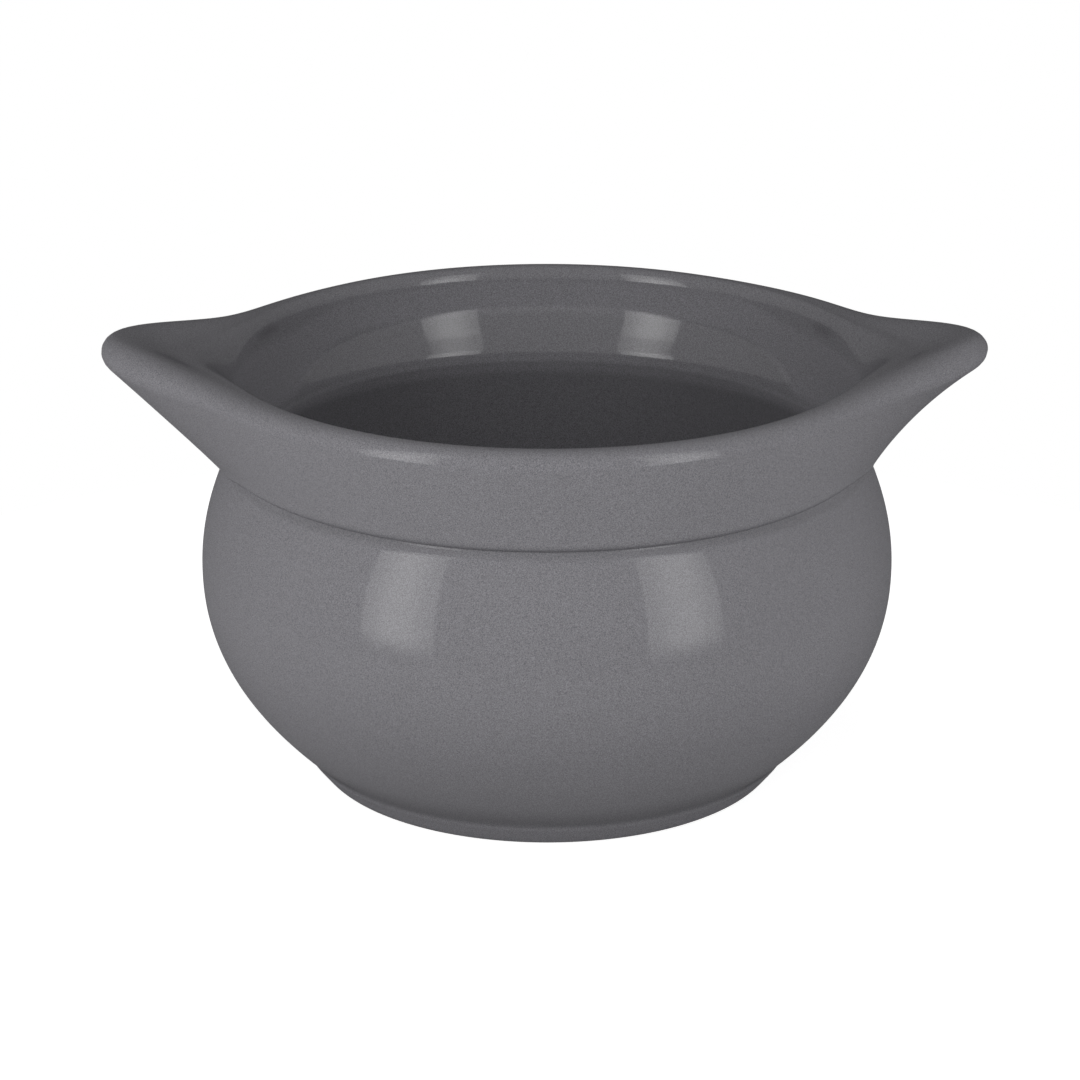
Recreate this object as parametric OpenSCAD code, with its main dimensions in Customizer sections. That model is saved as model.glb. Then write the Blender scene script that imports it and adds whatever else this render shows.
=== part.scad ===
// Onion soup crock in glazed stoneware. A bulbous bowl stands on a low foot ring and carries a
// thick upright collar round its mouth. Two broad pointed lugs are drawn out of the collar, one
// to each side, and turn up a little at the tip. The pieces meet where a potter joins clay that
// was formed separately. Millimetres, Z up: the crock stands on Z = 0 with its lugs along X.

/* [Bowl] */
// Outer diameter of the belly at its widest
belly_d = 115; // [110:0.5:124]
// Height of the widest part of the belly above the table
belly_z = 35.5; // [31:0.5:40]
// Fullness of the flank, from the widest part down to the foot, as a power
flank_power = 2.2; // [1.8:0.1:2.8]
// Fullness of the shoulder, from the widest part up to the collar, as a power
shoulder_power = 2; // [1.6:0.1:2.6]
// Wall of the bowl at its widest
wall = 4.6; // [3.6:0.1:6]
// Thickness of the bowl's floor
floor_t = 4.4; // [3.5:0.1:7]

/* [Foot] */
// Diameter of the foot ring where it stands on the table
foot_d = 77; // [68:0.5:82]
// Height of the foot ring up to its joint with the belly
foot_h = 3.7; // [3.2:0.1:4.8]
// Width of the foot ring on the table
foot_w = 5.5; // [4:0.1:8]
// Outward swell of the foot ring's face, from the table up to the belly
foot_lean = 2.4; // [1.6:0.1:3.2]
// Radius of the edges that the crock stands on
foot_edge_r = 0.6; // [0.4:0.1:1]
// Depth of the soft groove between the foot ring and the belly
foot_groove = 1.3; // [0.8:0.1:1.8]
// Reach of that groove above and below the joint
foot_groove_h = 1.5; // [1:0.1:2.2]

/* [Collar] */
// Height of the crock from the table to the top of the lip
crock_h = 71.5; // [66:0.5:80]
// Height of the collar from its groove to the top of the lip
collar_h = 16.75; // [14:0.25:20]
// How far the shoulder draws in from the widest part of the belly
shoulder_in = 5; // [3:0.25:8]
// Depth of the soft groove pressed into the shoulder under the collar
collar_groove = 0.6; // [0.3:0.1:1]
// Reach of that groove down the shoulder
collar_groove_h = 2.2; // [1.5:0.1:3]
// Wall at the groove, where the collar sits on the bowl
neck_wall = 3.5; // [2.8:0.1:4.5]
// Height of the soft edge inside the neck
neck_round = 3.1; // [2:0.1:4]
// How far the throat stands in from the wall under the lip
throat_in = 2.45; // [1.5:0.05:3.2]
// Step of the collar's lower edge out past the groove
collar_ledge = 1.3; // [0.8:0.1:1.8]
// Outward flare of the collar's outer face
collar_flare = 2.3; // [0.5:0.1:4]
// Radius of the lip's outer edge
lip_outer_r = 2.5; // [1.8:0.1:3]
// Radius of the lip's inner edge
lip_inner_r = 1.7; // [1.2:0.1:2.4]
// Narrow land along the top of the lip
lip_land = 0.2; // [0.1:0.1:1]

/* [Lugs] */
// Reach of each lug's tip out past the lip
lug_reach = 17.3; // [10:0.1:24]
// Half angle of the collar that each lug grows out of
lug_spread = 40; // [32:1:50]
// Upturn of the tip above the lip
lug_rise = 2.65; // [0.5:0.05:5]
// Radius of the soft edge round the tip
lug_edge_r = 3; // [2:0.1:4.5]
// Drop below the lip of the seat where a lug's inner face begins
lug_drop = 8; // [6:0.25:10]
// Soft inner edge where a lug opens into the mouth, as a share of the lug's top
roll_share = 0.43; // [0.25:0.01:0.6]
// Hollow of a lug's underside at its middle
lug_hollow = 0.6; // [0:0.1:2]
// Drop of a lug's root below the groove, onto the belly
lug_dip = 3; // [1:0.1:5]
// Lap of a lug's smoothed joint below the groove at its two ends
lug_lap = 0.3; // [0.2:0.1:0.6]
// Roundness of the tip in plan, as a power
tip_power = 1.6; // [1.3:0.1:2.2]
// Slimness of a lug in plan, as a power
slim_power = 4.7; // [3.5:0.1:6]

/* [Hidden] */
$fn = 160;
glaze = "#77767b";

// Segments of each curve, and sections of each lug
curve_steps = 20;
groove_steps = 8;
edge_steps = 6;
wall_steps = 5;
lip_steps = 8;
top_steps = 5;
face_steps = 6;
root_steps = 4;
lug_steps = 32;

// Powers of the bowl's inside: how round its corner is towards the wall and towards the floor
hollow_wall_power = 4;
hollow_floor_power = 2.4;
// Power of the cove inside the collar, from the upright wall under the lip down to the throat
cove_power = 2.6;
// Power of a lug's upturn along its length, and of how soon its inner edge opens as it grows
rise_power = 1.5;
open_power = 0.4;
// Place of a lug's seat in the collar, as a share of the wall from inside to outside
seat_share = 0.55;
// Corner of the collar's lower edge, as a share of its ledge
ledge_share = 0.8;
// Overrun of cuts past the faces they cut through
overrun = 1;

belly_r = belly_d / 2;
groove_r = belly_r - shoulder_in - collar_groove;
groove_z = crock_h - collar_h;
neck_r = groove_r - neck_wall;
hollow_r = belly_r - wall;
floor_z = foot_h + floor_t;
foot_r = foot_d / 2;
flank_foot_r = foot_r + foot_lean;
lip_out_r = groove_r + collar_ledge + collar_flare;
lip_top_r = lip_out_r - lip_outer_r - lip_land;
lip_in_r = lip_top_r - lip_inner_r;
lip_foot_z = crock_h - lip_inner_r;
lug_step = 2 * lug_spread / lug_steps;

// Soft edge inside the neck: it runs on from the bowl's inside and into the cove above, and its
// corner is where those two lines meet
throat = [lip_in_r - throat_in, groove_z + neck_round];
neck_slope = -shoulder_power * (hollow_r - neck_r) / (groove_z - belly_z);
corner_h = (throat.x - neck_r - wall_slope(throat.y) * neck_round) / (neck_slope - wall_slope(throat.y));
neck_corner = [neck_r + neck_slope * corner_h, groove_z + corner_h];

// A lug's seat is a step cut into the collar: its height, its cone and the two faces beside it
seat_z = crock_h - lug_drop;
seat_foot_r = mix(neck_r, groove_r, seat_share);
seat_in_r = wall_r(seat_z);
seat_out_r = mix(groove_r + collar_ledge, lip_out_r, (seat_z - groove_z) / collar_h);
seat_top_r = mix(seat_in_r, seat_out_r, seat_share);

function mix(a, b, t) = a + (b - a) * t;

function arc(centre, r, from, to, steps) =
    [for (i = [0 : steps]) centre + r * [cos(mix(from, to, i / steps)), sin(mix(from, to, i / steps))]];

// Points of a curve from p to q that leaves p towards corner and comes into q from corner
function bend(p, corner, q, steps) =
    [for (i = [0 : steps]) mix(mix(p, corner, i / steps), mix(corner, q, i / steps), i / steps)];

// Angle at which a line from p touches the outer side of a circle
function touch_angle(p, centre, r) =
    atan2(p.y - centre.y, p.x - centre.x) + acos(r / norm(p - centre));

// Depth at a height of a soft groove that is deepest at one height and runs out a reach away
function groove(z, deepest_z, reach, depth) =
    abs(z - deepest_z) < reach ? depth * pow(cos(90 * (z - deepest_z) / reach), 2) : 0;

// Outside of the bowl at a height: its flank or shoulder, less the groove at either end
function belly_out(z) =
    z < belly_z
    ? belly_r - (belly_r - flank_foot_r) * pow((belly_z - z) / (belly_z - foot_h), flank_power)
      - groove(z, foot_h, foot_groove_h, foot_groove)
    : belly_r - shoulder_in * pow((z - belly_z) / (groove_z - belly_z), shoulder_power)
      - groove(z, groove_z, collar_groove_h, collar_groove);

// Outside of the foot ring at a height
function foot_out(z) =
    foot_r + foot_lean * sin(90 * z / foot_h) - groove(z, foot_h, foot_groove_h, foot_groove);

// Inside of the collar at a height, upright under the lip and coved in to the throat, and its slope
function cove_share(z) = (lip_foot_z - z) / (lip_foot_z - groove_z - neck_round);
function wall_r(z) = lip_in_r - throat_in * pow(cove_share(z), cove_power);
function wall_slope(z) =
    throat_in * cove_power * pow(cove_share(z), cove_power - 1) / (lip_foot_z - groove_z - neck_round);

// Share of a lug's full growth at an angle from its middle: 1 at the tip, 0 at its two ends
function growth(angle) = pow(max(0, 1 - pow(abs(angle) / lug_spread, tip_power)), slim_power);

// Rim from the top of the inside wall, over the lip and down the outside to the groove. With no
// growth it is the plain collar, and with growth it swells into a lug that runs onto the belly.
function rim_section(grown, lap) =
    let (edge = mix(lip_outer_r, lug_edge_r, grown),
         edge_at = [lip_out_r + lug_reach * grown - edge, crock_h + lug_rise * grown - edge],
         plain = concat(wall_run(seat_z, lip_foot_z, wall_steps),
                        arc([lip_top_r, lip_foot_z], lip_inner_r, 180, 90, lip_steps)),
         opened = bend([seat_in_r, seat_z], [seat_in_r + lug_drop * wall_slope(seat_z), crock_h],
                       [mix(lip_top_r, edge_at.x, roll_share), crock_h], wall_steps + lip_steps),
         inner = mix(plain, opened, pow(grown, open_power)),
         inner_end = inner[wall_steps + lip_steps],
         root_z = groove_z - lug_dip * grown - lap,
         root = [belly_out(root_z), root_z],
         brow = root + [collar_ledge, collar_ledge],
         turn = touch_angle(brow, edge_at, edge),
         under = edge_at + edge * [cos(turn), sin(turn)],
         inward = [brow.y - under.y, under.x - brow.x] / norm(brow - under))
    concat(
        inner,
        [for (i = [1 : top_steps - 1])
            [mix(inner_end.x, edge_at.x, i / top_steps),
             crock_h + lug_rise * grown * pow(i / top_steps, rise_power)]],
        arc(edge_at, edge, 90, turn, lip_steps),
        [for (i = [1 : face_steps - 1])
            mix(under, brow, i / face_steps)
            + inward * lug_hollow * grown * 4 * i * (face_steps - i) / pow(face_steps, 2)],
        bend(brow, root + [collar_ledge * ledge_share, 0], root, edge_steps));

// Seat of a lug, from its root up the belly, in over the bowl's shoulder and up inside the collar
function seat_section(grown) =
    let (root_z = groove_z - lug_dip * grown - lug_lap)
    concat(
        [for (i = [1 : root_steps])
            let (z = mix(root_z, groove_z, i / root_steps))
            [belly_out(z), z]],
        [[seat_foot_r, groove_z], [seat_top_r, seat_z], [seat_in_r, seat_z]]);

// Points down the bowl's outside and up the collar's inside, short of the second height
function belly_run(from, to, steps) =
    [for (i = [0 : steps - 1])
        let (z = mix(from, to, i / steps))
        [belly_out(z), z]];
function wall_run(from, to, steps) =
    [for (i = [0 : steps - 1])
        let (z = mix(from, to, i / steps))
        [wall_r(z), z]];

bowl_outside = concat(
    belly_run(groove_z, groove_z - collar_groove_h, groove_steps),
    belly_run(groove_z - collar_groove_h, belly_z, curve_steps),
    belly_run(belly_z, foot_h + foot_groove_h, curve_steps),
    belly_run(foot_h + foot_groove_h, foot_h, groove_steps),
    [[belly_out(foot_h), foot_h]]);

bowl_inside = concat(
    [for (i = [0 : curve_steps])
        let (turn = 90 * (1 - i / curve_steps))
        [hollow_r * pow(cos(turn), 2 / hollow_wall_power),
         belly_z - (belly_z - floor_z) * pow(sin(turn), 2 / hollow_floor_power)]],
    [for (i = [1 : curve_steps])
        let (t = i / curve_steps)
        [hollow_r - (hollow_r - neck_r) * pow(t, shoulder_power), mix(belly_z, groove_z, t)]]);

foot_outline = concat(
    arc([foot_r - foot_w + foot_edge_r, foot_edge_r], foot_edge_r, 180, 270, edge_steps),
    bend([foot_r - foot_edge_r, 0], [foot_r, 0], [foot_out(foot_edge_r), foot_edge_r], edge_steps),
    [for (i = [1 : groove_steps])
        let (z = mix(foot_edge_r, foot_h - foot_groove_h, i / groove_steps))
        [foot_out(z), z]],
    [for (i = [1 : groove_steps])
        let (z = mix(foot_h - foot_groove_h, foot_h, i / groove_steps))
        [foot_out(z), z]],
    [[foot_r - foot_w, foot_h]]);

collar_outline = concat(
    bend([neck_r, groove_z], neck_corner, throat, edge_steps),
    wall_run(mix(throat.y, seat_z, 1 / wall_steps), seat_z, wall_steps - 1),
    rim_section(0, 0));

// Everything of the collar outside a lug's seat, with the seat's cone carried on below the groove
seat_cut_outline = [
    [mix(seat_foot_r, seat_top_r, overrun / (groove_z - seat_z)), groove_z - overrun],
    [seat_top_r, seat_z],
    [neck_r - neck_wall, seat_z],
    [neck_r - neck_wall, crock_h + overrun],
    [lip_out_r + overrun, crock_h + overrun],
    [lip_out_r + overrun, groove_z - overrun]
];

module bowl_body() {
    color(glaze)
        rotate_extrude()
            polygon(concat(bowl_outside, [[0, foot_h]], bowl_inside));
}

module foot_ring() {
    color(glaze)
        rotate_extrude()
            polygon(foot_outline);
}

module rim_collar() {
    color(glaze)
        difference() {
            rotate_extrude()
                polygon(collar_outline);
            for (side = [0, 180])
                rotate([0, 0, side - lug_spread])
                    rotate_extrude(angle = 2 * lug_spread)
                        polygon(seat_cut_outline);
        }
}

// One lug along +X: a loft of sections round the collar. The points on its seat stand out just
// enough to keep its flat facets clear of the round faces that it sits on.
module lug() {
    sections = [for (i = [0 : lug_steps])
        let (angle = i * lug_step - lug_spread,
             grown = growth(angle),
             seat = [for (p = seat_section(grown)) [p.x / cos(lug_step / 2), p.y]])
        [for (p = concat(rim_section(grown, lug_lap), seat)) [p.x * cos(angle), p.x * sin(angle), p.y]]];
    loft(sections);
}

// Closed solid through a row of outlines that have as many points each
module loft(sections) {
    count = len(sections[0]);
    last = len(sections) - 1;
    polyhedron(
        points = [for (s = sections) each s],
        faces = concat(
            [[for (j = [0 : count - 1]) j]],
            [for (i = [0 : last - 1], j = [0 : count - 1])
                let (k = (j + 1) % count)
                each [[i * count + j, (i + 1) * count + j, (i + 1) * count + k],
                      [i * count + j, (i + 1) * count + k, i * count + k]]],
            [[for (j = [count - 1 : -1 : 0]) last * count + j]]));
}

module left_lug() {
    color(glaze)
        rotate([0, 0, 180])
            lug();
}

module right_lug() {
    color(glaze)
        lug();
}

bowl_body();
foot_ring();
rim_collar();
left_lug();
right_lug();
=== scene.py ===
import math
import bmesh
import bpy
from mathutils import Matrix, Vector


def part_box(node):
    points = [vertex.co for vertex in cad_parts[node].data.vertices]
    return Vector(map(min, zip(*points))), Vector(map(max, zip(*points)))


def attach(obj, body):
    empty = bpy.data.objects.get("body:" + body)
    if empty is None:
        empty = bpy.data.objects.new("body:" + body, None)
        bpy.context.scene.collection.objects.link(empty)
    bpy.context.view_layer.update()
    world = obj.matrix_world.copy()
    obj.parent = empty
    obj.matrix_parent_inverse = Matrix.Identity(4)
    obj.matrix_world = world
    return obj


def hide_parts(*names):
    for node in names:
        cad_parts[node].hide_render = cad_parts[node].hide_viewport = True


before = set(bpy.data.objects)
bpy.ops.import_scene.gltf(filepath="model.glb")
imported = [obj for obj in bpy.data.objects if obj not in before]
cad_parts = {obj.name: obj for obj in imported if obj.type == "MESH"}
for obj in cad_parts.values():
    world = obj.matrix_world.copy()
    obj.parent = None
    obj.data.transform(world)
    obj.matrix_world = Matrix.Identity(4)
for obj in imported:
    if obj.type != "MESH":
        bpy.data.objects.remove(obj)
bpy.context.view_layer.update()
scene = bpy.context.scene
scene.view_settings.view_transform = 'Standard'
mm = 0.001
print("frame loaded:", sorted(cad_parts))

# heights and radii that the frame already holds
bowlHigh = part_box("bowl_body")[1]
bellyR = bowlHigh.x
grooveZ = bowlHigh.z
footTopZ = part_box("foot_ring")[1].z
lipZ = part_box("rim_collar")[1].z


# camera, matched to the photograph's viewing angle
cameraSet = {
    "target": Vector((-1.15, 0.7, 38.03)) * mm,
    "around": Vector((0, 0, 35.7)) * mm,
    "distance": 620 * mm,
    "elevation": 19.7,
    "turn": -0.85,        # a little to the left, so the right lug stands further off
    "lens": 123.4,
    "clipStart": 10 * mm,
}


def placeCamera(look):
    lift = math.radians(look["elevation"])
    turn = math.radians(look["turn"])
    away = Vector((math.cos(lift) * math.sin(turn), -math.cos(lift) * math.cos(turn), math.sin(lift)))
    data = bpy.data.cameras.new("photoCamera")
    data.lens = look["lens"]
    data.clip_start = look["clipStart"]
    cam = bpy.data.objects.new("photoCamera", data)
    cam.location = look["around"] + away * look["distance"]
    cam.rotation_euler = (look["target"] - cam.location).to_track_quat('-Z', 'Y').to_euler()
    scene.collection.objects.link(cam)
    scene.camera = cam


placeCamera(cameraSet)
print("camera placed")


# small helpers for outlines, all as (radius, height) pairs
def mix(a, b, t):
    return a + (b - a) * t


def ease(t):
    return t * t * (3 - 2 * t)


def arcPoints(centre, radius, start, end, steps):
    turns = [mix(start, end, i / steps) for i in range(steps + 1)]
    return [centre + radius * Vector((math.cos(a), math.sin(a))) for a in turns]


def bendPoints(p, corner, q, steps):
    shares = [i / steps for i in range(steps + 1)]
    return [mix(mix(p, corner, t), mix(corner, q, t), t) for t in shares]


def linePoints(p, q, steps):
    return [mix(p, q, i / steps) for i in range(1, steps)]


def touchAngle(p, centre, radius):
    # where a line from p touches the circle's outer side
    reach = p - centre
    return math.atan2(reach.y, reach.x) + math.acos(radius / reach.length)


def grooveDepth(z, deepestZ, reach, depth):
    # soft groove, deepest at one height and run out a reach away
    away = abs(z - deepestZ) / reach
    return depth * math.cos(math.pi / 2 * away) ** 2 if away < 1 else 0


def softMin(a, b, soft):
    return (a + b - math.hypot(a - b, soft)) / 2


def softMax(a, b, soft):
    return (a + b + math.hypot(a - b, soft)) / 2


def spin(p, angle):
    return Vector((p.x * math.cos(angle), p.x * math.sin(angle), p.y))


# turning
turning = {
    "steps": 288,          # round the axis
    "weld": 0.001 * mm,
    "match": 0.01 * mm,    # points this close share a normal
    "sharpAngle": 50,
}
stepAngle = 2 * math.pi / turning["steps"]


def finishMesh(bm, name, sharpAngle=None):
    bmesh.ops.remove_doubles(bm, verts=bm.verts, dist=turning["weld"])
    bmesh.ops.recalc_face_normals(bm, faces=bm.faces)
    mesh = bpy.data.meshes.new(name)
    bm.to_mesh(mesh)
    bm.free()
    if sharpAngle is not None:
        mesh.set_sharp_from_angle(angle=math.radians(sharpAngle))
    obj = bpy.data.objects.new(name, mesh)
    scene.collection.objects.link(obj)
    return obj


def addRows(bm, rows, smooth):
    # one strip of faces between each row of vertices and the next
    for here, there in zip(rows, rows[1:]):
        for j in range(len(here) - 1):
            face = bm.faces.new((here[j], here[j + 1], there[j + 1], there[j]))
            face.smooth = smooth


def turnedPiece(name, outline):
    # outline spun round the axis; ends on the axis close as poles
    bm = bmesh.new()
    rows = []
    for i in range(turning["steps"] + 1):
        rows.append([bm.verts.new(spin(p, i * stepAngle)) for p in outline])
    addRows(bm, rows, True)
    return finishMesh(bm, name, turning["sharpAngle"])


# bowl
bowl = {
    "widestZ": 35.5 * mm,
    "shoulderIn": 5 * mm,
    "shoulderPower": 2.0,
    "flankPower": 2.2,
    "flankFootR": 40.5 * mm,
    "collarGroove": 0.45 * mm,
    "collarGrooveReach": 1.6 * mm,
    "cornerReachZ": 9 * mm,
    "wall": 4.6 * mm,
    "floorThick": 4.4 * mm,
    "neckWall": 3.65 * mm,
    "insideWallPower": 4.0,
    "insideFloorPower": 2.4,
    "steps": 44,
    "grooveSteps": 20,
    "floorSteps": 8,
}
insideR = bellyR - bowl["wall"]
grooveR = bellyR - bowl["shoulderIn"] - bowl["collarGroove"]
neckR = grooveR - bowl["neckWall"]


# foot ring: a plain cone with a short steep side, met by the belly in a soft inner corner
foot = {
    "standR": 38.25 * mm,
    "lean": 0.82,          # out per mm up
    "sideZ": 3.3 * mm,
    "sideLean": 0.3,
    "sideSoft": 0.2 * mm,
    "cornerSoft": 0.4 * mm,
    "width": 5.5 * mm,
    "edge": 0.6 * mm,
    "steps": 24,
    "edgeSteps": 8,
    "standSteps": 6,
}


def footOut(z):
    cone = foot["standR"] + foot["lean"] * z
    side = foot["standR"] + foot["lean"] * foot["sideZ"] + foot["sideLean"] * (z - foot["sideZ"])
    return softMin(cone, side, foot["sideSoft"])


def bellyOut(z):
    if z < bowl["widestZ"]:
        down = (bowl["widestZ"] - z) / (bowl["widestZ"] - footTopZ)
        flank = bellyR - (bellyR - bowl["flankFootR"]) * down ** bowl["flankPower"]
        return softMax(flank, footOut(z), foot["cornerSoft"]) if z < bowl["cornerReachZ"] else flank
    up = (z - bowl["widestZ"]) / (grooveZ - bowl["widestZ"])
    shoulder = bellyR - bowl["shoulderIn"] * up ** bowl["shoulderPower"]
    return shoulder - grooveDepth(z, grooveZ, bowl["collarGrooveReach"], bowl["collarGroove"])


def bowlOutline():
    steps = bowl["steps"]
    floorZ = footTopZ + bowl["floorThick"]
    bottom = Vector((bellyOut(footTopZ), footTopZ))
    pole = Vector((0, footTopZ))
    points = [pole] + linePoints(pole, bottom, bowl["floorSteps"]) + [bottom]
    heights = [footTopZ, bowl["cornerReachZ"], grooveZ - bowl["collarGrooveReach"], grooveZ]
    counts = [bowl["grooveSteps"], 2 * steps, bowl["grooveSteps"]]
    for low, high, count in zip(heights, heights[1:], counts):
        for i in range(1, count + 1):
            z = mix(low, high, i / count)
            points.append(Vector((bellyOut(z), z)))
    for i in range(steps + 1):
        up = 1 - i / steps
        r = insideR - (insideR - neckR) * up ** bowl["shoulderPower"]
        points.append(Vector((r, mix(bowl["widestZ"], grooveZ, up))))
    for i in range(1, steps + 1):
        turn = math.pi / 2 * i / steps
        r = insideR * max(0, math.cos(turn)) ** (2 / bowl["insideWallPower"])
        drop = math.sin(turn) ** (2 / bowl["insideFloorPower"])
        points.append(Vector((r if i < steps else 0, mix(bowl["widestZ"], floorZ, drop))))
    return points


bowlBody = turnedPiece("bowlBody", bowlOutline())
print("bowl turned:", len(bowlBody.data.polygons), "faces")


def footOutline():
    inR = foot["standR"] - foot["width"]
    edge = foot["edge"]
    stand = Vector((foot["standR"] - edge, 0))
    corner = Vector((foot["standR"], 0))
    points = arcPoints(Vector((inR + edge, edge)), edge, math.pi, 1.5 * math.pi, foot["edgeSteps"])
    points += linePoints(points[-1], stand, foot["standSteps"])
    points += bendPoints(stand, corner, Vector((bellyOut(edge), edge)), foot["edgeSteps"])
    for i in range(1, foot["steps"] + 1):
        z = mix(edge, footTopZ, i / foot["steps"])
        points.append(Vector((bellyOut(z), z)))
    points += [Vector((inR, footTopZ))]
    return points + points[:1]


footRing = turnedPiece("footRing", footOutline())
print("foot ring turned:", len(footRing.data.polygons), "faces")


# collar and lugs share one skin, so their joints don't show
rim = {
    "ledge": 0.95 * mm,    # the collar stands out this far over the groove
    "lugLedge": 0.5 * mm,
    "browUp": 1.7 * mm,    # height of its rounded lower edge
    "lugBrowUp": 0.5 * mm,
    "browCorner": 0.75,
    "flare": 2.5 * mm,     # further out at the lip than at the groove
    "lipOuter": 2.5 * mm,
    "lipInner": 1.7 * mm,
    "lipDeep": 2.6 * mm,   # the lip's inner edge rolls down this far
    "land": 0.2 * mm,      # flat on top of the lip
    "neckRound": 3.1 * mm,
    "throatIn": 2.45 * mm,    # the wall coves in this far
    "covePower": 2.05,
    "seatShare": 0.55,     # where the seats lie across the collar's wall
    "wallSteps": 8,
    "lipSteps": 10,
    "topSteps": 14,
    "faceSteps": 18,
    "edgeSteps": 8,
    "rootSteps": 4,
    "neckSteps": 10,
}
lug = {
    "spread": 40.0,        # half angle of the seats in the collar
    "drop": 8.0 * mm,      # from the lip down to the seats
    "rollShare": 0.43,     # of the top, taken by the roll out of the mouth
    "openPower": 0.4,
    "edge": 2.7 * mm,
    "nearEdge": 2.4 * mm,
    "nearSoft": 2.2 * mm,  # the near edges roll over this much wider than they are deep
    "nearAngle": 10.0,
    "nearRise": 2.0,       # the near edges climb late, close to the tip
    "dip": 2.7 * mm,       # a lug's root runs down past the groove
    "topSlope": 0.6,       # where the top leaves the mouth, against its mean slope
    "right": {
        "middle": 0, "reach": 17.04 * mm, "rise": 2.52 * mm, "hollow": 1.2 * mm,
        "front": {"tip": 0.66, "tipAngle": 11.7, "tipPower": 1.6, "spread": 54.3, "skirtPower": 8.0},
        "back": {"tip": 0.777, "tipAngle": 12.3, "tipPower": 2.1, "spread": 66.0, "skirtPower": 3.1},
    },
    "left": {
        "middle": 180, "reach": 17.58 * mm, "rise": 2.75 * mm, "hollow": 0.0,
        "front": {"tip": 0.789, "tipAngle": 13.76, "tipPower": 2.03, "spread": 70.0, "skirtPower": 3.43},
        "back": {"tip": 0.835, "tipAngle": 13.3, "tipPower": 2.13, "spread": 58.0, "skirtPower": 3.6},
    },
}
lipOutR = grooveR + rim["ledge"] + rim["flare"]
lipTopR = lipOutR - rim["lipOuter"] - rim["land"]
lipInR = lipTopR - rim["lipInner"]
lipFootZ = lipZ - rim["lipDeep"]
throatZ = grooveZ + rim["neckRound"]


# inside of the collar: upright under the lip, coved in to the throat
def coveShare(z):
    return (lipFootZ - z) / (lipFootZ - throatZ)


def wallR(z):
    return lipInR - rim["throatIn"] * coveShare(z) ** rim["covePower"]


def wallSlope(z):
    steep = rim["throatIn"] * rim["covePower"] / (lipFootZ - throatZ)
    return steep * coveShare(z) ** (rim["covePower"] - 1)


def wallPoints(low, high, steps):
    heights = [mix(low, high, i / steps) for i in range(steps)]
    return [Vector((wallR(z), z)) for z in heights]


seatZ = lipZ - lug["drop"]
seatIn = Vector((wallR(seatZ), seatZ))
seatOutR = mix(grooveR + rim["ledge"], lipOutR, (seatZ - grooveZ) / (lipZ - grooveZ))
seatTop = Vector((mix(seatIn.x, seatOutR, rim["seatShare"]), seatZ))
seatFoot = Vector((mix(neckR, grooveR, rim["seatShare"]), grooveZ))


def growth(degrees, flank):
    # a rounded tongue that stands on a wide low skirt
    away = abs(degrees)
    tongue = math.exp(-(away / flank["tipAngle"]) ** flank["tipPower"])
    skirt = (1 - min(1, away / flank["spread"]) ** 2) ** flank["skirtPower"]
    return mix(skirt, tongue, flank["tip"])


def rimSection(grown, ear, near, rise):
    # from the seat up the inside wall, over the lip and down to the groove
    edge = mix(mix(rim["lipOuter"], lug["edge"], grown), lug["nearEdge"], near)
    edgeAt = Vector((lipOutR + ear["reach"] * grown - edge, lipZ + rise - edge))
    plain = wallPoints(seatZ, lipFootZ, rim["wallSteps"])
    for p in arcPoints(Vector((0, 0)), 1, math.pi, math.pi / 2, rim["lipSteps"]):
        plain.append(Vector((lipTopR + rim["lipInner"] * p.x, lipFootZ + rim["lipDeep"] * p.y)))
    corner = Vector((seatIn.x + lug["drop"] * wallSlope(seatZ), lipZ))
    rolled = Vector((mix(lipTopR, edgeAt.x, lug["rollShare"]), lipZ))
    opened = bendPoints(seatIn, corner, rolled, len(plain) - 1)
    opening = grown ** lug["openPower"]
    points = [mix(p, q, opening) for p, q in zip(plain, opened)]
    topStart = points[-1].x
    soft = lug["nearSoft"] * near
    for i in range(1, rim["topSteps"]):
        t = i / rim["topSteps"]
        lift = rise * (ease(t) + lug["topSlope"] * t * (1 - t) ** 2)
        points.append(Vector((mix(topStart, edgeAt.x - soft, t), lipZ + lift)))
    for p in arcPoints(Vector((0, 0)), 1, math.pi / 2, 0, rim["lipSteps"]):
        points.append(edgeAt + Vector((mix(-soft, edge, p.x), edge * p.y)))
    rootZ = grooveZ - lug["dip"] * grown
    root = Vector((bellyOut(rootZ), rootZ))
    ledge = mix(rim["ledge"], rim["lugLedge"], opening)
    brow = root + Vector((ledge, mix(rim["browUp"], rim["lugBrowUp"], opening)))
    turn = touchAngle(brow, edgeAt, edge)
    points += arcPoints(edgeAt, edge, 0, turn, rim["lipSteps"])[1:]
    under = points[-1]
    inward = Vector((brow.y - under.y, under.x - brow.x)).normalized()
    for i in range(1, rim["faceSteps"]):    # the face, hollowed most half way down
        t = i / rim["faceSteps"]
        points.append(mix(under, brow, t) + inward * ear["hollow"] * grown * 4 * t * (1 - t))
    browFoot = root + Vector((ledge * rim["browCorner"], 0))
    return points + bendPoints(brow, browFoot, root, rim["edgeSteps"])


def wallSection():
    # inside of the collar, from the bowl's top edge up to the lugs' seats
    start = Vector((neckR, grooveZ))
    throat = Vector((wallR(throatZ), throatZ))
    bowlSlope = -bowl["shoulderPower"] * (insideR - neckR) / (grooveZ - bowl["widestZ"])
    throatSlope = wallSlope(throatZ)
    up = (throat.x - neckR - throatSlope * rim["neckRound"]) / (bowlSlope - throatSlope)
    points = bendPoints(start, start + Vector((bowlSlope * up, up)), throat, rim["neckSteps"])
    return points + wallPoints(throatZ, seatZ, rim["wallSteps"])[1:] + [seatIn]


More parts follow.
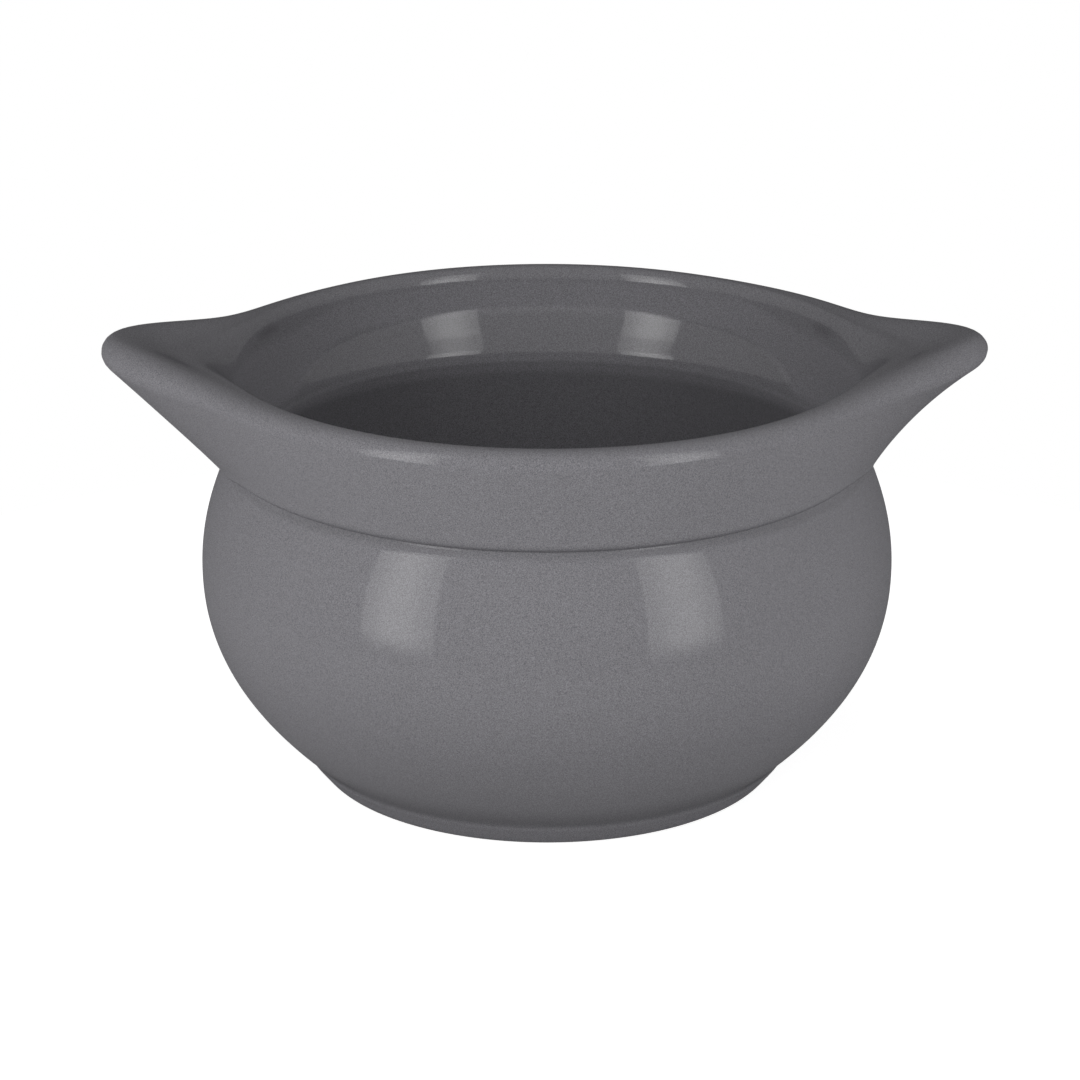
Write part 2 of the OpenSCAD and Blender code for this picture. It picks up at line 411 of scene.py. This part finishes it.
def seatSection(grown):
    # a lug's hidden side: up the belly, in over the shoulder, up inside the collar
    rootZ = grooveZ - lug["dip"] * grown
    points = []
    for i in range(1, rim["rootSteps"] + 1):
        z = mix(rootZ, grooveZ, i / rim["rootSteps"])
        points.append(Vector((bellyOut(z), z)))
    return points + [seatFoot, seatTop, seatIn]


def sectionAt(i):
    # growth and outline at one step round the rim
    degrees = math.degrees(i * stepAngle)
    side = "right" if math.cos(math.radians(degrees)) > 0 else "left"
    ear = lug[side]
    flank = ear["back" if math.sin(math.radians(degrees)) > 0 else "front"]
    away = (degrees - ear["middle"] + 180) % 360 - 180
    grown = growth(away, flank)
    near, rise = 0, ear["rise"] * grown
    if flank is ear["front"]:
        near = ease(min(1, abs(away) / lug["nearAngle"])) * grown ** lug["openPower"]
        rise = ear["rise"] * grown ** lug["nearRise"]
    return grown, rimSection(grown, ear, near, rise)


# the whole skin first, for normals that run on across the joints
skinRows = []
for i in range(turning["steps"]):
    outline = wallSection() + sectionAt(i)[1]
    skinRows.append([spin(p, i * stepAngle) for p in outline])


def skinNormal(i, j):
    count = len(skinRows)
    row = skinRows[i]
    along = skinRows[(i + 1) % count][j] - skinRows[i - 1][j]
    across = row[min(j + 1, len(row) - 1)] - row[max(j - 1, 0)]
    return across.cross(along).normalized()


def pointKey(p):
    return tuple(round(c / turning["match"]) for c in p)


skinNormals = {}
for i, row in enumerate(skinRows):
    for j, p in enumerate(row):
        skinNormals[pointKey(p)] = skinNormal(i, j)


def shadeAsSkin(obj):
    # smooth faces take the skin's own normals, hidden faces stay flat
    mesh = obj.data
    leftPlain = 0
    normals = []
    for poly in mesh.polygons:
        for index in poly.loop_indices:
            normal = poly.normal
            if poly.use_smooth:
                co = mesh.vertices[mesh.loops[index].vertex_index].co
                known = skinNormals.get(pointKey(co))
                if known is None:
                    leftPlain += 1
                else:
                    normal = known if known.dot(poly.normal) > 0 else -known
            normals.append(normal)
    mesh.normals_split_custom_set(normals)
    print("  normals of", obj.name, "set,", leftPlain, "left plain")


lugStepCount = round(math.radians(lug["spread"]) / stepAngle)
halfTurn = turning["steps"] // 2


def buildLug(name, ear):
    bm = bmesh.new()
    middle = round(math.radians(ear["middle"]) / stepAngle)
    outerRows, seatRows = [], []
    for i in range(middle - lugStepCount, middle + lugStepCount + 1):
        grown, outer = sectionAt(i)
        seat = [outer[-1]] + seatSection(grown) + [outer[0]]
        outerRows.append([bm.verts.new(spin(p, i * stepAngle)) for p in outer])
        seatRows.append([bm.verts.new(spin(p, i * stepAngle)) for p in seat])
    addRows(bm, outerRows, True)
    addRows(bm, seatRows, False)
    for end in (0, -1):
        bm.faces.new(outerRows[end] + seatRows[end][1:-1])
    obj = finishMesh(bm, name)
    shadeAsSkin(obj)
    return obj


def buildCollar(name):
    bm = bmesh.new()
    inside = wallSection()
    core = [seatIn, seatTop, seatFoot, inside[0]]

    def ring(points, i):
        return [bm.verts.new(spin(p, i * stepAngle)) for p in points]

    for start in (0, halfTurn):
        bare = range(start + lugStepCount, start + halfTurn - lugStepCount + 1)
        cut = range(start - lugStepCount, start + lugStepCount + 1)
        addRows(bm, [ring(inside + sectionAt(i)[1], i) for i in bare], True)
        addRows(bm, [ring([sectionAt(i)[1][-1], seatFoot, inside[0]], i) for i in bare], False)
        addRows(bm, [ring(inside, i) for i in cut], True)
        addRows(bm, [ring(core, i) for i in cut], False)
        for i in (cut[0], cut[-1]):
            bm.faces.new(ring(sectionAt(i)[1] + [seatFoot, seatTop], i))
    obj = finishMesh(bm, name)
    shadeAsSkin(obj)
    return obj


rimCollar = buildCollar("rimCollar")
rightLug = buildLug("rightLug", lug["right"])
leftLug = buildLug("leftLug", lug["left"])
print("collar and lugs built")


# materials
glaze = {
    "colour": (0.180, 0.177, 0.190),
    "bareClay": (0.36, 0.33, 0.30),
    "bareZ": 0.12 * mm,
    "grain": 0.32,
    "grainSize": 0.115 * mm,
    "grainTurn": 45.0,     # short strokes that lean to the right
    "grainLong": 1.7,
    "mottle": 0.012,
    "mottleSize": 14 * mm,
    "mottleDetail": 3,
    "noiseRange": (0.25, 0.75),                   # what the noise mostly keeps to
    # painted shade and painted light, as bands by height: heights from, most and to, and depth; a
    # negative depth paints lighter
    # painted shade in the groove above the foot
    "footPaintedShade": (3.4 * mm, 4.3 * mm, 10.3 * mm, 0.22),
    # painted light, paler on the foot's cone
    "footPaintedLight": (-1.2 * mm, 1.8 * mm, 3.6 * mm, -0.15),
    # painted shade in the groove under the collar
    "collarPaintedShade": (grooveZ - 1.6 * mm, grooveZ, grooveZ + 1.6 * mm, 0.14),
    "collarPaintedShadeY": (25 * mm, 42 * mm),            # the painted shade runs out towards the lugs
    "crook": Vector((47.2, 20.5, 68.65)) * mm,    # painted shade in the crook beside each lug
    "crookSize": Vector((6.2, 1.9, 1.6)) * mm,
    "crookTurn": 115.0,
    "crookDepth": 0.2,
    "thinZ": 9 * mm,       # below this the glaze thins out to the foot
    "thinGloss": 0.3,
    "roughness": 0.6,
    "gloss": 0.033,
    "insideGloss": 1.42,   # thicker and glossier inside the mouth
    "insideR": (51.6 * mm, 53.6 * mm),
    "pale": 0.15,          # painted light: a paler band under the lip inside, between a low and a high soft edge
    "paleLowZ": (62.6 * mm, 64.3 * mm),
    "paleHighZ": (68.0 * mm, 70.0 * mm),
    "sagFrom": 32 * mm,    # the band sags towards the lugs, its low edge most
    "sag": 0.06 / mm,
    "sagMost": 7 * mm,
    "sagHighShare": 0.35,
    "neckPaintedLight": (51.7 * mm, 54.8 * mm, 56.5 * mm, -0.48),    # painted light at the throat, paler over the neck
    "neckPaintedLightR": (49.8 * mm, 51.2 * mm),
    "glossIor": 4.0,
    "glossRoughness": 0.06,
    "bumpHeight": 0.004 * mm,
}


def newMaterial(name):
    mat = bpy.data.materials.new(name)
    mat.use_nodes = True
    nodes = mat.node_tree.nodes
    return mat, nodes, mat.node_tree.links, nodes["Principled BSDF"]


def noise(nodes, links, coords, size, detail, label):
    tex = nodes.new('ShaderNodeTexNoise')
    tex.label = label
    tex.inputs["Scale"].default_value = 1 / size
    tex.inputs["Detail"].default_value = detail
    links.new(coords, tex.inputs["Vector"])
    return tex.outputs["Fac"]


def calc(nodes, links, operation, a, b=None, clamp=False):
    # one maths node; a and b are sockets or plain numbers
    node = nodes.new('ShaderNodeMath')
    node.operation = operation
    node.use_clamp = clamp
    for socket, value in zip(node.inputs, (a, b)):
        if isinstance(value, (int, float)):
            socket.default_value = value
        elif value is not None:
            links.new(value, socket)
    return node.outputs[0]


def times(nodes, links, first, *others):
    for other in others:
        first = calc(nodes, links, 'MULTIPLY', first, other)
    return first


def remap(nodes, links, value, source, target, interpolation='LINEAR'):
    # from one range of levels to another
    node = nodes.new('ShaderNodeMapRange')
    node.interpolation_type = interpolation
    for name, number in zip(("From Min", "From Max", "To Min", "To Max"), (*source, *target)):
        node.inputs[name].default_value = number
    links.new(value, node.inputs["Value"])
    return node.outputs["Result"]


def blend(nodes, links, value, source, target):
    # soft step from one level to another
    return remap(nodes, links, value, source, target, 'SMOOTHSTEP')


def lengthOf(nodes, links, vector):
    node = nodes.new('ShaderNodeVectorMath')
    node.operation = 'LENGTH'
    links.new(vector, node.inputs[0])
    return node.outputs["Value"]


def mapping(nodes, links, vector, turn, scale, location=(0, 0, 0)):
    node = nodes.new('ShaderNodeMapping')
    node.vector_type = 'TEXTURE'
    node.inputs["Location"].default_value = location
    node.inputs["Rotation"].default_value = turn
    node.inputs["Scale"].default_value = scale
    links.new(vector, node.inputs["Vector"])
    return node.outputs[0]


def paintedBandTone(nodes, links, height, pool, *limits):
    # painted shade or light: tone against 1, least or most at one height and run out at two others
    low, most, high, depth = pool
    share = times(nodes, links, blend(nodes, links, height, (most, high), (depth, 0)),
                  blend(nodes, links, height, (low, most), (0, 1)), *limits)
    return calc(nodes, links, 'SUBTRACT', 1, share)


# painted shade in the four crooks beside the lugs
def crookPaintedShade(nodes, links, coords):
    folded = nodes.new('ShaderNodeVectorMath')    # the four crooks fall on one
    folded.operation = 'ABSOLUTE'
    links.new(coords, folded.inputs[0])
    turn = (0, 0, math.radians(glaze["crookTurn"]))
    crook = mapping(nodes, links, folded.outputs[0], turn, glaze["crookSize"], glaze["crook"])
    return blend(nodes, links, lengthOf(nodes, links, crook), (0, 1), (1 - glaze["crookDepth"], 1))


def lipPaintedLight(nodes, links, across, height, inside):
    # painted light: the paler band under the lip, at its own height less what it sags
    past = calc(nodes, links, 'SUBTRACT', calc(nodes, links, 'ABSOLUTE', across), glaze["sagFrom"])
    past = calc(nodes, links, 'MAXIMUM', past, 0)
    sag = calc(nodes, links, 'MINIMUM', times(nodes, links, past, past, glaze["sag"]), glaze["sagMost"])
    lowEdge = calc(nodes, links, 'ADD', height, sag)
    highEdge = calc(nodes, links, 'ADD', height, times(nodes, links, sag, glaze["sagHighShare"]))
    band = times(nodes, links, blend(nodes, links, lowEdge, glaze["paleLowZ"], (0, glaze["pale"])),
                 blend(nodes, links, highEdge, glaze["paleHighZ"], (1, 0)), inside)
    return calc(nodes, links, 'ADD', 1, band)


def makeGlaze():
    mat, nodes, links, shader = newMaterial("greyGlaze")
    coords = nodes.new('ShaderNodeTexCoord').outputs["Object"]
    split = nodes.new('ShaderNodeSeparateXYZ')
    links.new(coords, split.inputs[0])
    across, along, height = split.outputs
    flat = nodes.new('ShaderNodeCombineXYZ')
    links.new(across, flat.inputs["X"])
    links.new(along, flat.inputs["Y"])
    fromAxis = lengthOf(nodes, links, flat.outputs[0])
    inside = blend(nodes, links, fromAxis, glaze["insideR"], (1, 0))
    offLugs = blend(nodes, links, calc(nodes, links, 'ABSOLUTE', along), glaze["collarPaintedShadeY"], (0, 1))
    inNeck = blend(nodes, links, fromAxis, glaze["neckPaintedLightR"], (1, 0))

    turn = (0, math.radians(glaze["grainTurn"]), 0)
    slant = mapping(nodes, links, coords, turn, (1, 1, glaze["grainLong"]))
    grain = noise(nodes, links, slant, glaze["grainSize"], 0, "grain")
    mottle = noise(nodes, links, coords, glaze["mottleSize"], glaze["mottleDetail"], "mottle")
    # grain and mottle are the glaze's own tone; the bands, the crooks and the lip band are painted shade
    # and painted light
    tone = times(
        nodes, links,
        remap(nodes, links, grain, glaze["noiseRange"], (1 - glaze["grain"], 1 + glaze["grain"])),
        remap(nodes, links, mottle, glaze["noiseRange"], (1 - glaze["mottle"], 1 + glaze["mottle"])),
        paintedBandTone(nodes, links, height, glaze["footPaintedShade"]),
        paintedBandTone(nodes, links, height, glaze["footPaintedLight"]),
        paintedBandTone(nodes, links, height, glaze["collarPaintedShade"], offLugs),
        crookPaintedShade(nodes, links, coords),
        lipPaintedLight(nodes, links, across, height, inside),
        paintedBandTone(nodes, links, height, glaze["neckPaintedLight"], inNeck))
    tint = nodes.new('ShaderNodeVectorMath')
    tint.operation = 'SCALE'
    tint.inputs[0].default_value = glaze["colour"]
    links.new(tone, tint.inputs["Scale"])
    glazed = blend(nodes, links, height, (glaze["bareZ"], 2 * glaze["bareZ"]), (0, 1))
    cover = nodes.new('ShaderNodeMix')            # wiped off the ring that it stands on
    cover.data_type = 'RGBA'
    links.new(glazed, cover.inputs["Factor"])
    cover.inputs[6].default_value = (*glaze["bareClay"], 1)    # its colours are 6 and 7 in, 2 out
    links.new(tint.outputs[0], cover.inputs[7])
    links.new(cover.outputs[2], shader.inputs["Base Color"])

    thinGloss = glaze["gloss"] * glaze["thinGloss"]
    gloss = blend(nodes, links, height, (0, glaze["thinZ"]), (thinGloss, glaze["gloss"]))
    extra = calc(nodes, links, 'ADD', 1, times(nodes, links, inside, glaze["insideGloss"] - 1))
    links.new(times(nodes, links, gloss, extra, glazed), shader.inputs["Coat Weight"])
    bump = nodes.new('ShaderNodeBump')
    bump.inputs["Distance"].default_value = glaze["bumpHeight"]
    links.new(grain, bump.inputs["Height"])
    links.new(bump.outputs["Normal"], shader.inputs["Normal"])
    shader.inputs["Roughness"].default_value = glaze["roughness"]
    shader.inputs["Specular IOR Level"].default_value = 0
    shader.inputs["Coat IOR"].default_value = glaze["glossIor"]
    shader.inputs["Coat Roughness"].default_value = glaze["glossRoughness"]
    return mat


greyGlaze = makeGlaze()
pieces = {
    "bowl_body": bowlBody,
    "foot_ring": footRing,
    "rim_collar": rimCollar,
    "left_lug": leftLug,
    "right_lug": rightLug,
}
for node, piece in pieces.items():
    piece.data.materials.append(greyGlaze)
    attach(piece, "root")
    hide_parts(node)
print("glaze on", len(pieces), "pieces")


# stage: a small round table top, a softbox to each side of the camera and a room with pale side walls
stage = {
    "tableR": 165 * mm,
    "tableSides": 128,
    "tableZ": -0.03 * mm,  # a hair under the foot
    "tableColour": (0.54, 0.54, 0.54, 1),
    "glow": (0.84, 1.0),   # less under the crock, so its shadow still shows
    "glowR": (50 * mm, 110 * mm),
    "roomEven": 0.03,
    "roomLeft": 0.33,
    "roomRight": 0.23,
}
softbox = {
    "bottom": -36 * mm,
    "top": 380 * mm,
    "fade": 0.154,         # soft lower end, as a share of the height
    "dimShares": (0.55, 0.60),    # the upper part is dimmer
    "dimGlow": 0.6,
    "middleShare": 0.5,    # of the width, with a hot strip to each side of it
    "hotShare": 0.05,
    "edgeGlow": 0.45,      # glow at the two sides against the middle
    "right": {"inner": Vector((138, -258, 0)) * mm, "outer": Vector((260, -203, 0)) * mm, "glow": 6.75},
    "left": {"inner": Vector((-161, -245, 0)) * mm, "outer": Vector((-277, -180, 0)) * mm, "glow": 7.8},
}


def seenPlainly(nodes, links):
    # 1 where the camera, a reflection or a clear glass looks straight at it
    path = nodes.new('ShaderNodeLightPath')
    total = path.outputs["Is Camera Ray"]
    for ray in ("Is Glossy Ray", "Is Transmission Ray"):
        total = calc(nodes, links, 'ADD', total, path.outputs[ray], True)
    return total


def makeTable():
    bm = bmesh.new()
    bmesh.ops.create_circle(bm, cap_ends=True, radius=stage["tableR"], segments=stage["tableSides"])
    table = finishMesh(bm, "tableTop")
    mat, nodes, links, shader = newMaterial("paleTable")
    nodes.remove(shader)
    diffuse = nodes.new('ShaderNodeBsdfDiffuse')
    diffuse.inputs["Color"].default_value = stage["tableColour"]
    away = lengthOf(nodes, links, nodes.new('ShaderNodeTexCoord').outputs["Object"])
    level = blend(nodes, links, away, stage["glowR"], stage["glow"])
    glow = nodes.new('ShaderNodeEmission')
    links.new(times(nodes, links, seenPlainly(nodes, links), level), glow.inputs["Strength"])
    both = nodes.new('ShaderNodeAddShader')
    links.new(diffuse.outputs[0], both.inputs[0])
    links.new(glow.outputs[0], both.inputs[1])
    links.new(both.outputs[0], nodes["Material Output"].inputs["Surface"])
    table.data.materials.append(mat)
    table.location.z = stage["tableZ"]


def makeRoom():
    world = bpy.data.worlds.new("room")
    world.use_nodes = True
    nodes, links = world.node_tree.nodes, world.node_tree.links
    split = nodes.new('ShaderNodeSeparateXYZ')
    links.new(nodes.new('ShaderNodeTexCoord').outputs["Generated"], split.inputs[0])
    level = stage["roomEven"]
    for turn, wall in ((1, stage["roomRight"]), (-1, stage["roomLeft"])):
        facing = calc(nodes, links, 'MULTIPLY', split.outputs["X"], turn, True)
        level = calc(nodes, links, 'ADD', level, times(nodes, links, facing, wall))
    whiten = nodes.new('ShaderNodeMix')    # white where it is looked at, the room's own level as light
    links.new(seenPlainly(nodes, links), whiten.inputs["Factor"])
    links.new(level, whiten.inputs["A"])
    whiten.inputs["B"].default_value = 1
    background = nodes["Background"]
    background.inputs["Color"].default_value = (1, 1, 1, 1)
    links.new(whiten.outputs["Result"], background.inputs["Strength"])
    scene.world = world


def makeSoftbox(side):
    box = softbox[side]
    middle = (box["inner"] + box["outer"]) / 2
    width = box["outer"] - box["inner"]
    facing = width.cross(Vector((0, 0, 1))).normalized()
    if facing.dot(middle) < 0:
        facing = -facing
    data = bpy.data.lights.new(side + "Softbox", 'AREA')
    data.shape = 'RECTANGLE'
    data.size = width.length
    data.size_y = softbox["top"] - softbox["bottom"]
    data.energy = box["glow"] * math.pi * data.size * data.size_y
    data.use_nodes = True
    nodes, links = data.node_tree.nodes, data.node_tree.links
    split = nodes.new('ShaderNodeSeparateXYZ')
    links.new(nodes.new('ShaderNodeNewGeometry').outputs["Parametric"], split.inputs[0])
    across, up = split.outputs["X"], split.outputs["Y"]
    offMiddle = calc(nodes, links, 'SUBTRACT', across, softbox["middleShare"])
    offMiddle = calc(nodes, links, 'ABSOLUTE', offMiddle)
    hotShares = (softbox["hotShare"], softbox["middleShare"])
    hot = blend(nodes, links, offMiddle, hotShares, (1, softbox["edgeGlow"]))
    lower = blend(nodes, links, up, (0, softbox["fade"]), (0, 1))
    upper = blend(nodes, links, up, softbox["dimShares"], (1, softbox["dimGlow"]))
    links.new(times(nodes, links, hot, lower, upper), nodes["Emission"].inputs["Strength"])
    lamp = bpy.data.objects.new(side + "Softbox", data)
    lamp.location = middle + Vector((0, 0, (softbox["top"] + softbox["bottom"]) / 2))
    lamp.rotation_euler = facing.to_track_quat('Z', 'Y').to_euler()
    lamp.visible_camera = False
    scene.collection.objects.link(lamp)


makeTable()
makeRoom()
makeSoftbox("left")
makeSoftbox("right")
print("stage lit")
